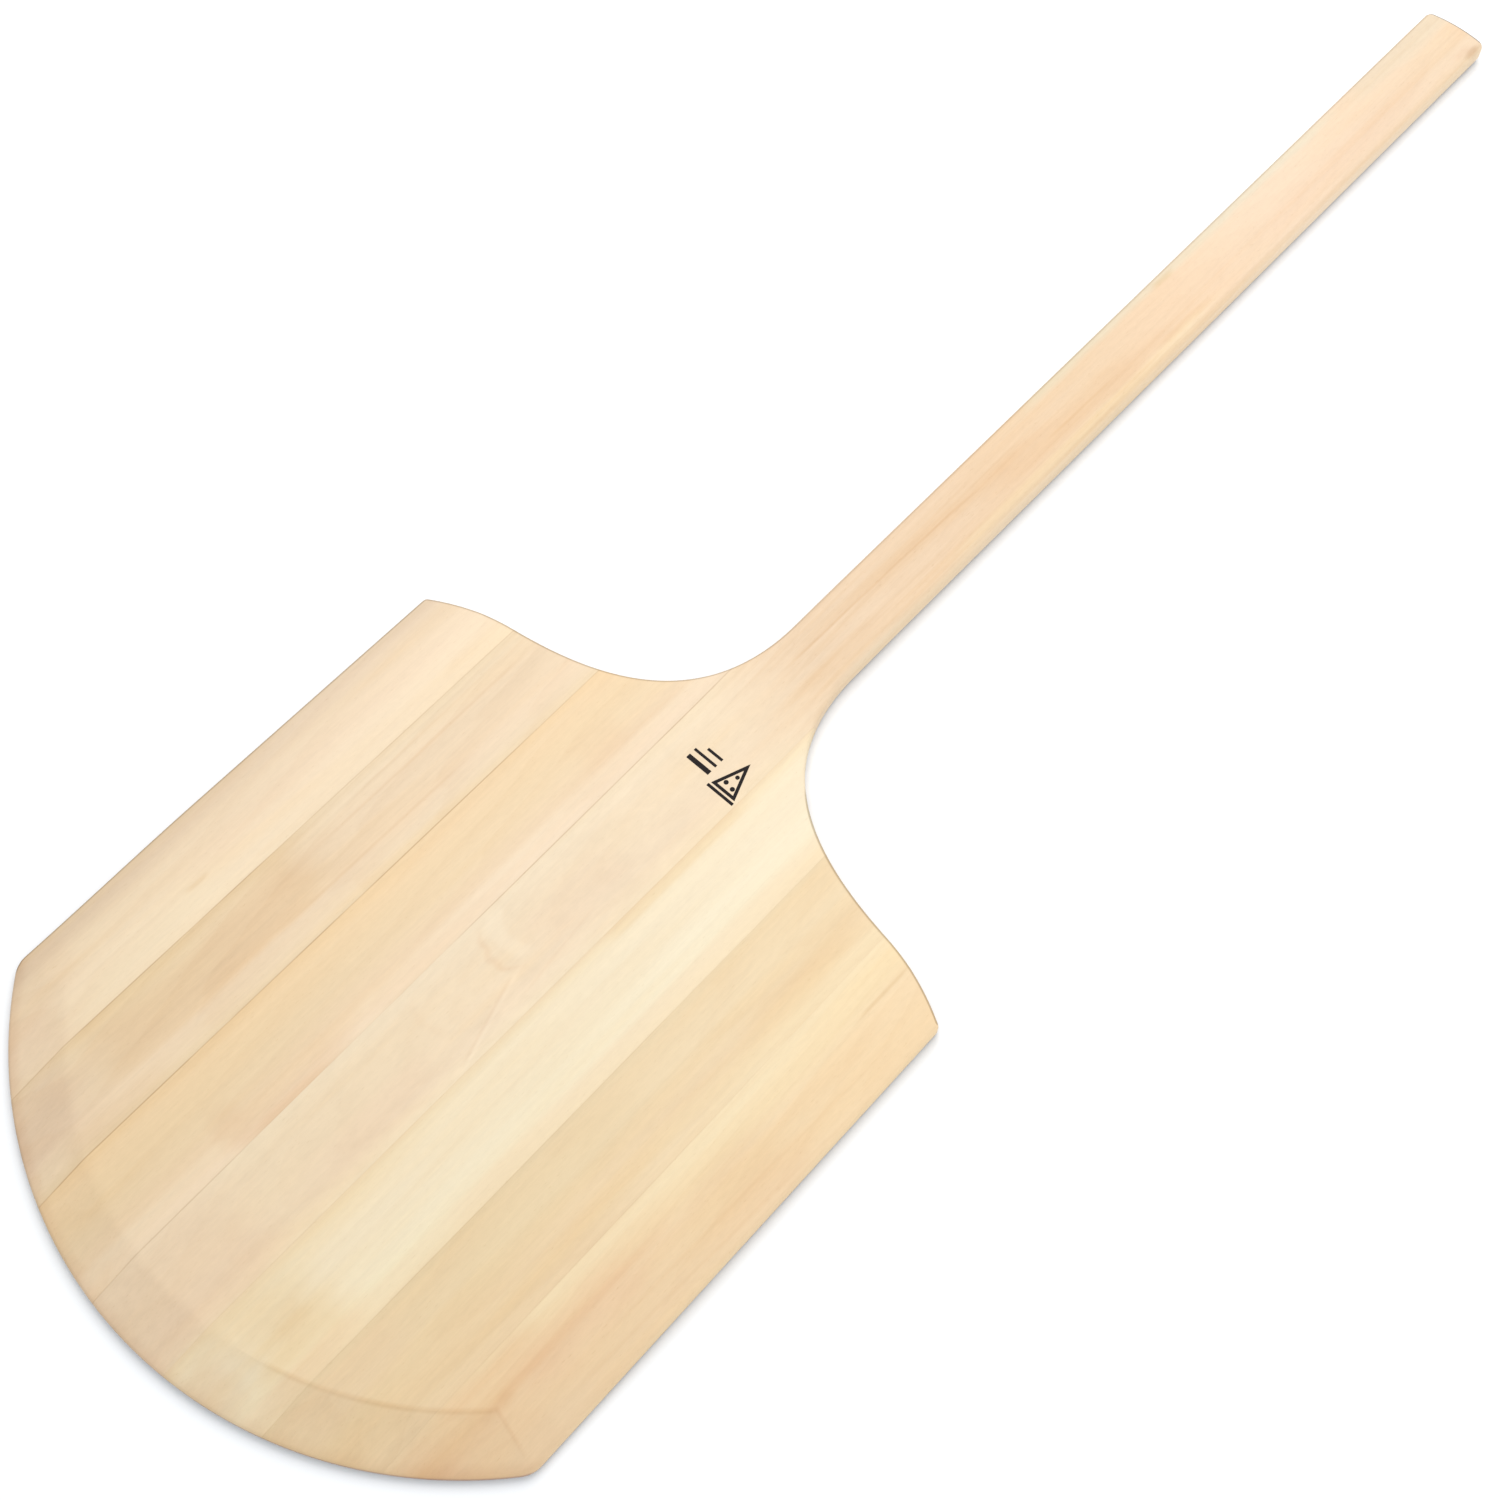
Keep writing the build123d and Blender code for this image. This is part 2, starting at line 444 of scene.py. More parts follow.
def build_staves():
    """Every stave's object by its name; a triangle belongs to the stave that its middle is in."""
    points, triangles, distances = plan_mesh(whole_outline())
    a, b, c = (points[triangles[:, k]] for k in range(3))
    clockwise = np.cross(b - a, c - a) < 0
    triangles[clockwise] = triangles[clockwise][:, ::-1]
    x, y = points[triangles].mean(1).T
    limits = stave_limits()
    pieces = {}
    for name, left, right in zip(WOODS, limits, limits[1:]):
        within = (x > glue_x(left, y)) & (x < glue_x(right, y))
        mesh = stave_mesh(name + "_wood", points, triangles[within], distances)
        piece = link(bpy.data.objects.new(name + "_wood", mesh))
        mesh.shade_smooth()
        mesh.set_sharp_from_angle(angle=SHARP_ANGLE)
        sharpen_crease(mesh)
        pieces[name] = piece
    return pieces


# ---- shader helpers

WOOD_LEVEL = 0.7


def wood_colour(rgb):
    """The wood's own colour, in linear light, for one that reads as rgb under the studio light."""
    return (*(((c / 255 + 0.055) / 1.055) ** 2.4 * WOOD_LEVEL for c in rgb), 1)


class Shader:
    """A material's node tree, written as nested calls."""

    def __init__(self, name):
        self.material = bpy.data.materials.new(name)
        self.material.use_nodes = True
        self.tree = self.material.node_tree
        self.tree.nodes.clear()

    def node(self, kind, inputs=(), **settings):
        made = self.tree.nodes.new("ShaderNode" + kind)
        for key, value in settings.items():
            setattr(made, key, value)
        for key, value in dict(inputs).items():
            self.feed(made.inputs[key], value)
        return made

    def feed(self, socket, value):
        if isinstance(value, bpy.types.NodeSocket):
            self.tree.links.new(value, socket)
        else:
            socket.default_value = value

    def math(self, operation, *values, clamp=False):
        inputs = enumerate(values)
        return self.node("Math", inputs, operation=operation, use_clamp=clamp).outputs[0]

    def times(self, first, *others):
        for factor in others:
            first = self.math("MULTIPLY", first, factor)
        return first

    def plus(self, a, b):
        return self.math("ADD", a, b)

    def minus(self, a, b):
        return self.math("SUBTRACT", a, b)

    def affine(self, value, factor, offset):
        return self.math("MULTIPLY_ADD", value, factor, offset)

    def fade(self, value, start, end):
        """0 where value is at start, 1 where it is at end, smooth between."""
        inputs = {0: value, 1: start, 2: end, 3: 0.0, 4: 1.0}
        return self.node("MapRange", inputs, interpolation_type="SMOOTHSTEP").outputs[0]

    def band(self, value, low, high, soft):
        """1 from low to high, fading to 0 over soft on both sides of each."""
        rising = self.fade(value, low - soft, low + soft)
        return self.times(rising, self.fade(value, high + soft, high - soft))

    def distance(self, a, b):
        """The long side of a right triangle with short sides a and b."""
        return self.math("SQRT", self.plus(self.times(a, a), self.times(b, b)))

    def vector_math(self, operation, vector, values):
        return self.node("VectorMath", {0: vector, 1: values}, operation=operation).outputs[0]

    def noise(self, vector, squeeze, scale, detail=2.0, roughness=0.5, distortion=0.0):
        """A noise of places that are squeezed along Y, which draws it out along the grain."""
        squeezed = self.vector_math("MULTIPLY", vector, (1, squeeze, 1))
        names = ("Vector", "Scale", "Detail", "Roughness", "Distortion")
        inputs = zip(names, (squeezed, scale, detail, roughness, distortion))
        return self.node("TexNoise", inputs).outputs[0]

    def ramp(self, value, stops):
        made = self.node("ValToRGB", {0: value})
        elements = made.color_ramp.elements
        while len(elements) < len(stops):
            elements.new(0.5)
        for element, (position, colour) in zip(elements, stops):
            element.position = position
            element.color = colour
        return made.outputs[0]

    def mix(self, factor, a, b, blend="MIX"):
        made = self.node("Mix", data_type="RGBA", blend_type=blend)
        for socket, value in zip((made.inputs[0], made.inputs[6], made.inputs[7]), (factor, a, b)):
            self.feed(socket, value)
        return made.outputs[2]

    def tint(self, colour, amount, factor):
        """colour times the tint where factor is 1."""
        return self.mix(factor, colour, (*amount, 1), "MULTIPLY")

    def shaded(self, colour, value):
        """colour times a plain value."""
        grey = self.node("CombineColor", {0: value, 1: value, 2: value}).outputs[0]
        return self.mix(1.0, colour, grey, "MULTIPLY")

    def bump(self, relief, strength, depth):
        inputs = {"Strength": strength, "Distance": depth, "Height": relief}
        return self.node("Bump", inputs).outputs[0]

    def finish(self, **inputs):
        named = {key.replace("_", " "): value for key, value in inputs.items()}
        surface = self.node("BsdfPrincipled", named)
        self.node("OutputMaterial", {0: surface.outputs[0]})
        return self.material


# ---- marks in the wood

CLOUD_RAGGEDNESS = 1.2
CHEVRON_WAVER = 22 * MM


def in_metres(millimetres):
    return [value * MM for value in millimetres]


def patch(x, y, soft, tint, lean=0.0):
    """A patch or streak in the wood, with soft wavy edges: its tint and where it shows.

    x and y are its ranges in millimetres, y from the tip and x at its lower end; soft is the width
    of its edges along each; lean is how far it drifts along +X for each unit of +Y.
    """
    x, y, (soft_x, soft_y) = in_metres(x), in_metres(y), in_metres(soft)

    def factor(s):
        sway = s.affine(s.wobble, soft_x * 2, -soft_x)
        shift = s.affine(s.wobble, soft_y * 2, -soft_y)
        drift = s.affine(s.along, -lean, y[0] * lean)
        swayed = s.plus(s.plus(s.x, sway), drift)
        return s.times(s.band(swayed, *x, soft_x), s.band(s.plus(s.along, shift), *y, soft_y))

    return tint, factor


def cloud(middle, halves, soft, tint):
    """A soft ragged oval, in the same way: its middle, half sizes and softness as a share."""

    def factor(s):
        places = zip((s.x, s.along), in_metres(middle), in_metres(halves))
        across, length = (s.affine(place, 1 / half, -centre / half) for place, centre, half in places)
        ragged = s.affine(s.wobble, CLOUD_RAGGEDNESS, -CLOUD_RAGGEDNESS / 2)
        return s.fade(s.plus(s.distance(across, length), ragged), 1 + soft, 1 - soft)

    return tint, factor


def chevron(foot, reach, climb, height, soft, tint):
    """A wavering V of figure, in the same way: its rounded foot, its reach to each side, and the
    climb and height of its arms."""
    foot_x, foot_y, reach, height, soft = in_metres((*foot, reach, height, soft))

    def factor(s):
        aside = s.distance(s.minus(s.x, foot_x), soft * 2)
        above = s.minus(s.along, s.affine(aside, climb, foot_y))
        above = s.plus(above, s.affine(s.wobble, CHEVRON_WAVER, -CHEVRON_WAVER / 2))
        return s.times(s.band(above, 0, height, soft), s.fade(aside, reach * 1.3, reach * 0.6))

    return tint, factor


# The staves from left to right. For each: a name for its wood; colours from its left side to its right,
# with their places as shares of its width; the seed of its noises; the pith line of its rings, as X and
# Z at the tip and how they change along +Y; how dark its rings and how strong its streaks are; and
# its marks
WOODS = {
    "left_outer_stave": (
        "pinkish_cream_basswood",
        ((0.0, 231, 206, 173), (0.12, 234, 209, 179), (0.3, 245, 220, 187), (0.55, 250, 225, 193),
         (0.72, 252, 228, 195), (0.88, 253, 230, 197), (1.0, 253, 229, 194)),
        1.7, (-0.11, -0.16, 0.0, 0.02), 0.6, 1.0,
        patch((-143.5, -141), (164, 176), (1, 3), (0.94, 0.9, 0.84)),
        patch((-156, -148), (150, 330), (4, 40), (0.985, 0.975, 0.965)),
        patch((-150, -124), (25, 78), (6, 14), (0.97, 0.945, 0.95)),
        patch((-160, -130), (98, 178), (8, 20), (1.01, 1.03, 1.035)),
    ),
    "left_middle_stave": (
        "greyish_tan_basswood",
        ((0.0, 243, 218, 181), (0.12, 246, 222, 188), (0.3, 242, 216, 182), (0.55, 243, 217, 183),
         (0.72, 246, 220, 187), (0.88, 248, 223, 189), (1.0, 245, 219, 180)),
        4.1, (-0.08, -0.09, 0.0, 0.05), 0.7, 1.5,
        patch((-127, -91), (80, 214), (2.5, 12), (0.972, 0.935, 0.875)),
        patch((-117, -98), (95, 214), (4, 16), (0.98, 0.96, 0.94)),
        cloud((-113, 212), (15, 20), 0.7, (0.965, 0.945, 0.92)),
        patch((-99, -91), (142, 200), (3, 12), (0.975, 0.95, 0.93)),
        patch((-127, -102), (104, 146), (5, 12), (1.015, 1.03, 1.03)),
        patch((-86, -76), (44, 96), (3, 12), (0.97, 0.94, 0.91)),
        patch((-127, -90), (0, 62), (6, 12), (0.965, 0.945, 0.97)),
        patch((-92.8, -91.4), (200, 300), (0.8, 15), (0.94, 0.91, 0.88)),
        patch((-113, -111.4), (235, 365), (0.8, 15), (0.95, 0.92, 0.89), -0.01),
        patch((-120, -118.6), (250, 365), (0.8, 15), (0.97, 0.95, 0.93), -0.01),
    ),
    "left_inner_stave": (
        "warm_tan_basswood",
        ((0.0, 248, 217, 173), (0.1, 249, 219, 177), (0.3, 247, 218, 176), (0.55, 246, 219, 180),
         (0.74, 246, 218, 182), (0.82, 250, 226, 194), (0.93, 251, 226, 195), (1.0, 249, 224, 192)),
        7.9, (-0.03, -0.12, 0.01, 0.03), 0.5, 1.0,
        cloud((-27, 130), (9, 32), 0.5, (0.955, 0.91, 0.865)),
        cloud((-24.5, 128), (4, 25), 0.5, (0.965, 0.92, 0.88)),
        cloud((-36, 99), (12, 8), 0.6, (0.975, 0.95, 0.935)),
        patch((-56, -38), (344, 374), (5, 8), (0.985, 0.96, 0.94)),
        patch((-37, -28), (148, 178), (3, 8), (0.98, 0.955, 0.93)),
    ),
    "handle_board": (
        "peach_basswood",
        ((0.0, 250, 229, 197), (0.2, 249, 226, 193), (0.5, 248, 224, 190), (0.8, 248, 224, 192),
         (1.0, 250, 228, 194)),
        11.3, (0.004, -0.05, 0.0, 0.10), 0.3, 0.9,
        chevron((-8, 241), 15, 0.7, 9, 2.5, (1.03, 1.05, 1.075)),
        chevron((-6, 234), 14, 0.7, 3, 1.6, (0.965, 0.925, 0.895)),
        chevron((-6, 188), 14, 0.6, 4, 3, (0.985, 0.968, 0.958)),
        chevron((-4, 212), 12, 0.6, 5, 3, (1.008, 1.015, 1.022)),
        patch((23.6, 25.4), (192, 248), (0.7, 5), (1.03, 1.04, 1.06), -0.31),
        patch((21.4, 23.0), (194, 236), (0.8, 5), (0.965, 0.94, 0.92), -0.31),
        patch((18.5, 19.8), (236, 292), (0.8, 8), (0.975, 0.955, 0.94), -0.12),
        patch((-20, 4), (342, 368), (5, 8), (1.01, 1.02, 1.035)),
        patch((-8, 12), (262, 318), (5, 12), (0.985, 0.965, 0.965)),
        patch((2, 19), (110, 182), (5, 15), (0.985, 0.965, 0.97)),
        patch((-24, 26), (-10, 74), (3, 20), (0.97, 0.935, 0.935)),
        patch((18, 23), (200, 372), (1.5, 20), (1.008, 1.01, 1.015)),
        patch((-6.4, -5.2), (466, 600), (0.7, 12), (0.93, 0.88, 0.82), 0.022),
        patch((-8, -1), (500, 640), (3, 30), (0.985, 0.965, 0.935), 0.02),
        patch((-6, 9), (610, 740), (4, 25), (0.97, 0.93, 0.885), 0.06),
        patch((6, 14), (455, 505), (2, 12), (0.985, 0.965, 0.94)),
        patch((4.8, 6.2), (662, 712), (0.8, 8), (0.95, 0.91, 0.85), 0.02),
        patch((10.5, 14.5), (752, 794), (1.2, 8), (0.97, 0.935, 0.88), 0.02),
        patch((13.5, 18.5), (570, 792), (1.5, 20), (1.035, 1.09, 1.09)),
        patch((-17, -13.5), (781, 795), (1.2, 4), (0.94, 0.89, 0.8)),
        patch((-4, 6), (520, 640), (3, 20), (0.99, 0.975, 0.955)),
        patch((5, 12), (720, 775), (2, 22), (0.98, 0.965, 0.95)),
        patch((-17, -5), (800, 975), (4, 25), (1.0, 1.02, 1.03)),
        patch((-21, -14.5), (660, 950), (2.5, 30), (0.953, 1.08, 1.16)),
        patch((-21, -8), (975, 1075), (4, 15), (0.95, 1.0, 1.02)),
        patch((-21, 21), (820, 1075), (5, 30), (0.975, 1.0, 1.01)),
        patch((4, 15), (850, 1010), (4, 25), (0.985, 0.965, 0.955)),
        patch((12, 16.5), (1040, 1054), (2, 4), (0.97, 0.93, 0.91)),
        cloud((18.2, 1053), (1.9, 5.5), 0.7, (0.84, 0.77, 0.71)),
        patch((15, 20), (1016, 1048), (1.5, 8), (0.99, 0.98, 0.965)),
    ),
    "right_inner_stave": (
        "pale_yellow_basswood",
        ((0.0, 247, 222, 184), (0.05, 250, 228, 190), (0.13, 253, 234, 200), (0.4, 252, 234, 202),
         (0.62, 254, 238, 206), (0.76, 254, 237, 203), (0.83, 253, 231, 195), (1.0, 252, 228, 189)),
        15.2, (0.12, -0.15, 0.0, 0.02), 0.35, 0.9,
        patch((26, 32.5), (288, 382), (1.2, 10), (0.975, 0.94, 0.89)),
        patch((34, 66), (34, 78), (8, 12), (0.965, 0.93, 0.86)),
        patch((45, 58), (48, 66), (4, 5), (0.975, 0.95, 0.92)),
        patch((54, 78), (32, 84), (5, 10), (1.0, 0.968, 0.94)),
        patch((30, 42), (58, 78), (4, 8), (1.0, 1.02, 1.045)),
        patch((24, 62), (20, 72), (8, 10), (0.985, 0.97, 0.955)),
        patch((68, 78), (20, 60), (2, 10), (0.98, 0.965, 0.955)),
        patch((36, 62), (-5, 20), (8, 8), (0.95, 0.89, 0.84)),
        patch((66, 77), (74, 135), (3, 12), (1.01, 1.03, 1.035)),
    ),
    "right_middle_stave": (
        "straw_basswood",
        ((0.0, 242, 217, 176), (0.1, 246, 219, 177), (0.4, 247, 222, 182), (0.68, 245, 217, 176),
         (0.8, 248, 221, 179), (0.92, 252, 228, 187), (1.0, 250, 225, 184)),
        19.6, (0.09, -0.11, 0.0, 0.04), 0.45, 1.2,
        patch((107, 119), (300, 372), (4, 20), (0.985, 0.96, 0.92)),
        patch((116, 130), (20, 200), (4, 40), (0.97, 0.94, 0.92)),
        patch((122, 130), (30, 265), (2.5, 20), (0.975, 0.955, 0.955)),
        patch((84, 104), (120, 230), (6, 30), (0.985, 0.985, 0.97)),
        patch((80, 100), (20, 90), (4, 15), (0.985, 0.96, 0.965)),
    ),
    "right_outer_stave": (
        "honey_basswood",
        ((0.0, 254, 230, 188), (0.12, 254, 229, 186), (0.28, 253, 226, 181), (0.45, 252, 223, 181),
         (0.7, 251, 221, 178), (1.0, 250, 221, 180)),
        23.4, (0.17, -0.04, 0.0, 0.05), 0.45, 0.65,
        patch((144.0, 148.2), (88, 188), (1.6, 16), (0.968, 0.93, 0.905)),
        patch((144.5, 151), (92, 104), (2.5, 5), (0.97, 0.94, 0.91)),
        patch((138, 178), (20, 205), (4, 30), (0.975, 0.95, 0.945)),
        patch((127, 182), (0, 64), (4, 12), (0.965, 0.94, 0.945)),
        patch((129, 137), (76, 126), (2, 10), (0.985, 0.955, 0.945)),
        patch((162, 178), (74, 126), (5, 12), (0.995, 1.015, 1.045)),
        patch((129, 150), (112, 210), (4, 18), (0.995, 0.975, 0.97)),
        patch((129, 178), (20, 132), (4, 20), (0.985, 0.97, 0.965)),
        patch((129, 150), (20, 118), (6, 18), (0.975, 0.93, 0.915)),
        cloud((147, 244), (6, 24), 0.7, (0.967, 0.935, 0.915)),
        cloud((160, 240), (9, 36), 0.7, (0.985, 0.958, 0.91)),
        cloud((169, 244), (10, 28), 0.7, (0.975, 0.94, 0.93)),
        patch((138, 157), (112, 176), (6, 12), (0.985, 0.95, 0.955)),
        patch((146.3, 148.0), (338, 372), (0.8, 6), (0.92, 0.88, 0.83)),
        patch((160, 161.4), (150, 320), (1.0, 20), (0.975, 0.955, 0.935), 0.03),
        patch((166, 167.4), (120, 300), (1.0, 20), (0.975, 0.955, 0.935), 0.05),
        patch((169, 170.6), (110, 220), (1.0, 20), (1.015, 1.02, 1.02), 0.08),
        patch((129.2, 133), (130, 300), (1.2, 20), (1.015, 1.03, 1.045), 0.02),
        patch((150, 156), (170, 330), (2.5, 30), (0.99, 0.975, 0.955), 0.02),
    ),
}

# The handle's own colours along it: distance from the tip in millimetres and colour
HANDLE_COLOURS = (
    (400, 247, 220, 187),
    (470, 240, 212, 179),
    (600, 238, 209, 176),
    (700, 239, 209, 173),
    (780, 241, 210, 175),
    (870, 243, 213, 182),
    (960, 243, 213, 182),
    (1067, 243, 215, 183),
)
HANDLE_FADE = (400 * MM, 470 * MM)

# How dark each glue line shows, from left to right, at distances from the tip in millimetres
SEAMS = (
    ((0, 0.3), (70, 0.4), (100, 0.65), (190, 0.65), (230, 0.32), (400, 0.36)),
    ((0, 0.62), (80, 0.72), (320, 0.68), (345, 0.36), (400, 0.32)),
    ((0, 0.48), (85, 0.4), (100, 0.1), (225, 0.12), (265, 0.55), (400, 0.62)),
    ((0, 0.1), (400, 0.1)),
    ((0, 0.2), (60, 0.26), (290, 0.22), (330, 0.06), (400, 0.05)),
    ((0, 0.1), (130, 0.2), (270, 0.16), (300, 0.03), (400, 0.0)),
)
SEAM_HALF_WIDTH = 0.5 * MM

# Noises in the wood: squeeze along the grain, scale, detail, roughness and distortion
SWAY = (0.16, 42, 2.0)
RING_WAVES = (0.12, 30, 3.0)
BROAD_STREAKS = (0.02, 120, 2.0)
MEDIUM_STREAKS = (0.016, 420, 3.0, 0.6)
FINE_STREAKS = (0.02, 1700, 2.0, 0.6)
MOTTLE = (0.3, 620, 2.0)
SOFT_CLOUDS = (0.45, 16, 3.0)
WARMTH = (0.08, 65, 2.0)
HANDLE_BANDS = (0.012, 190, 3.0, 0.55)
CURL = (0.75, 75, 3.0, 0.5, 1.2)
MARK_EDGES = (0.5, 55, 3.0)
PORES = (0.1, 2600, 1.0)
UNEVEN = (1, 24, 3.0)
UNEVEN_STRETCH = (0.2, 1, 0.2)

# Between which values of a noise its mark comes in
PORE_LEVELS = (0.68, 0.78)
UNEVEN_LEVELS = (0.3, 0.62)
BAND_LEVELS = (0.42, 0.66)
WARM_LEVELS = (0.45, 0.72)

# How strongly each shows
SWAY_REACH = 2.25 * MM
RING_WAVER = 12 * MM
RING_SPACING = 3.6 * MM
RING_START = 0.35
RING_PEAK = 0.93
BROAD_STRENGTH = 0.075
MEDIUM_STRENGTH = 0.085
FINE_STRENGTH = 0.075
MOTTLE_STRENGTH = 0.085
CLOUD_STRENGTH = 0.07
CURL_STRENGTH = 0.09
PORE_STRENGTH = 0.5

# What the wood's colour is multiplied by where each thing shows
# Painted shade: the wood is darker towards the tip, where less light falls
TIP_SHADE_TINT = (0.965, 0.945, 0.9)
RING_TINT = (0.97, 0.95, 0.93)
WARM_TINT = (1.0, 0.975, 0.93)
BAND_TINT = (0.965, 0.93, 0.88)
# Painted shade on the bevel, which faces away from the light
BEVEL_SHADE_TINT = (0.985, 0.972, 0.965)
NEAR_RIM_TINT = (0.93, 0.88, 0.85)
CREASE_TINT = (0.9, 0.85, 0.79)
MITRE_TINT = (0.95, 0.92, 0.9)
PORE_TINT = (0.84, 0.78, 0.7)
SEAM_TINT = (0.62, 0.53, 0.44)
END_GRAIN_TINT = (0.93, 0.9, 0.88)
WORN_TINT = (0.975, 0.96, 0.945)
# Painted light: the near walls are made paler, as if lit from the side; on the handle also bluer
NEAR_WALL_LIGHT_TINT = (1.2, 1.2, 1.17)
NEAR_WALL_HANDLE_LIGHT_TINT = (1.0, 1.05, 1.09)
# Painted shade on the lower front wall, which faces away from the light
FRONT_SHADE_TINT = (0.7, 0.66, 0.8)
# Painted shade lines along the far rim and round the handle's end
FAR_RIM_SHADE_TINT = (0.62, 0.6, 0.56)
HANDLE_END_SHADE_TINT = (0.7, 0.74, 0.85)
# Painted shade at the foot of every wall, where it meets the floor
FOOT_SHADE_TINT = (0.55, 0.5, 0.48)

# Where each thing comes in, from none to all of it. By the distance from the tip
TIP_SHADE_FADE = (300 * MM, 40 * MM)
BEVEL_FADE = (110 * MM, 100 * MM)
BLADE_FADE = (500 * MM, 440 * MM)

# By the distance outwards from the bevel's crease, by the distance from each dark line and X
# along it, and by height
ON_BEVEL = (-4 * MM, 3 * MM)
NEAR_RIM = (BEVEL_WIDTH - 8 * MM, BEVEL_WIDTH - 1 * MM)
CREASE_LINE = (2.2 * MM, 0.2 * MM)
CREASE_LEFT_END = (48 * MM, 66 * MM)
CREASE_RIGHT_END = (FACET_X + 1 * MM, FACET_X - 2 * MM)
MITRE_LINE = (1.8 * MM, 0.2 * MM)
MITRE_LEFT_END = (FACET_X - 3 * MM, FACET_X + 1 * MM)
MITRE_RIGHT_END = (175 * MM, 160 * MM)
UPPER_SIDE = (2.5 * MM, 4.5 * MM)

# By the distance from the rim, or by height for the line along the front
NEAR_WALL_LIT_RIM = (5 * MM, 0.5 * MM)
WORN = (3.2 * MM, 0.3 * MM)
FRONT_LINE_Z = (4.5 * MM, 3.5 * MM)

# By where a wall faces; the near side is to the right and forward, and X and Y count this much
NEAR_SIDE = (0.68, -0.73)
END_GRAIN_FACING = (0.25, 0.9)
NEAR_WALL_LIT_FACING = (0.1, 0.85)
FRONT_LINE_FACING = (0.5, 0.85)
FAR_FACING = (-0.02, -0.1)
FORWARD = (-0.2, -0.5)
BACKWARD = (0.15, 0.4)

# The painted shade line along the far rim: how wide on the blade and on the handle, and how much wider
# at the handle's end
FAR_LINE_BLADE = 1.35 * MM
FAR_LINE_HANDLE = 2 * MM
FAR_LINE_END_EXTRA = 1.6 * MM
FAR_LINE_SOFT = 0.5 * MM

# The painted shade at the foot of the wall: where it ends on the handle, how much higher on the blade,
# and where it is full
FOOT_TOP = 2.2 * MM
FOOT_BLADE_EXTRA = 0.6 * MM
FOOT_FULL = 0.7 * MM

# How much each thing raises or lowers the surface, and roughens it
FINE_RELIEF = 0.35
MEDIUM_RELIEF = 0.65
PORE_RELIEF = -0.6
SEAM_RELIEF = -1.2
RELIEF_STRENGTH = 0.35
RELIEF_DEPTH = 0.12 * MM
ROUGHNESS = 0.5
MEDIUM_ROUGHNESS = 0.16
PORE_ROUGHNESS = 0.1


class WoodShader(Shader):
    """Sanded basswood on one stave; each step below takes its colour so far and changes it."""

    def __init__(self, name, index):
        super().__init__(name + "_wood")
        look = WOODS[name]
        _, self.colours, seed, self.pith_line, self.ring_strength, self.streaks, *self.marks = look
        self.index = index
        self.is_handle_board = name == "handle_board"
        place = self.node("TexCoord").outputs["Object"]
        self.x, y, self.z = self.node("SeparateXYZ", {0: place}).outputs
        self.along = self.minus(y, TIP_Y)
        self.own = self.vector_math("ADD", place, (seed, seed * 2.3, seed * 0.7))
        self.medium = self.grain(MEDIUM_STREAKS)
        self.fine = self.grain(FINE_STREAKS)
        self.pores = self.fade(self.grain(PORES), *PORE_LEVELS)
        uneven = self.noise(self.vector_math("MULTIPLY", place, UNEVEN_STRETCH), *UNEVEN)
        self.uneven = self.fade(uneven, *UNEVEN_LEVELS)
        self.wobble = self.grain(MARK_EDGES)
        self.rim = self.node("Attribute", attribute_name="rim_distance").outputs["Fac"]
        normals = self.node("NewGeometry").outputs
        self.wall_y = self.node("SeparateXYZ", {0: normals["True Normal"]}).outputs[1]
        outward_x, self.outward_y, _ = self.node("SeparateXYZ", {0: normals["Normal"]}).outputs
        self.near = self.affine(outward_x, NEAR_SIDE[0], self.times(self.outward_y, NEAR_SIDE[1]))
        self.on_blade = self.fade(self.along, *BLADE_FADE)
        self.off_blade = self.minus(1.0, self.on_blade)

    def grain(self, pattern):
        return self.noise(self.own, *pattern)


def line_x(s, line):
    """X of a glue line."""
    lean = (line[1] - line[0]) / GLUE_TOP
    return s.affine(s.along, lean, line[0])


def stops_along(s, stops):
    """A colour that changes along the peel, from stops in millimetres from the tip."""
    first, last = stops[0][0] * MM, stops[-1][0] * MM
    position = s.math("DIVIDE", s.minus(s.along, first), last - first, clamp=True)
    return s.ramp(position, [((place * MM - first) / (last - first), c) for place, c in stops])


def across(s):
    """The colours from the stave's left side to its right, in long waves, and the handle's."""
    swayed = s.plus(s.x, s.affine(s.grain(SWAY), 2 * SWAY_REACH, -SWAY_REACH))
    sides = ((-HALF_BLADE, -HALF_BLADE), *GLUE_LINES, (HALF_BLADE, HALF_BLADE))
    left = line_x(s, sides[s.index])
    width = s.minus(line_x(s, sides[s.index + 1]), left)
    position = s.math("DIVIDE", s.minus(swayed, left), width, clamp=True)
    colour = s.ramp(position, [(p, wood_colour(c)) for p, *c in s.colours])
    if s.is_handle_board:
        handle = stops_along(s, [(p, wood_colour(c)) for p, *c in HANDLE_COLOURS])
        colour = s.mix(s.fade(s.along, *HANDLE_FADE), colour, handle)
    # Painted shade: darker towards the tip, where less light falls
    return s.tint(colour, TIP_SHADE_TINT, s.fade(s.along, *TIP_SHADE_FADE))


def growth_rings(s, colour):
    """The dark line of each growth ring, round a pith line under the board."""
    pith_x, pith_z, lean_x, lean_z = s.pith_line
    off_x = s.minus(s.x, s.affine(s.along, lean_x, pith_x))
    off_z = s.minus(s.z, s.affine(s.along, lean_z, pith_z))
    waves = s.times(s.grain(RING_WAVES), RING_WAVER)
    radius = s.plus(s.distance(off_x, off_z), waves)
    phase = s.math("FRACT", s.math("DIVIDE", radius, RING_SPACING))
    ring = s.times(s.fade(phase, RING_START, RING_PEAK), s.fade(phase, 1.0, RING_PEAK))
    return s.tint(colour, RING_TINT, s.times(ring, s.ring_strength))


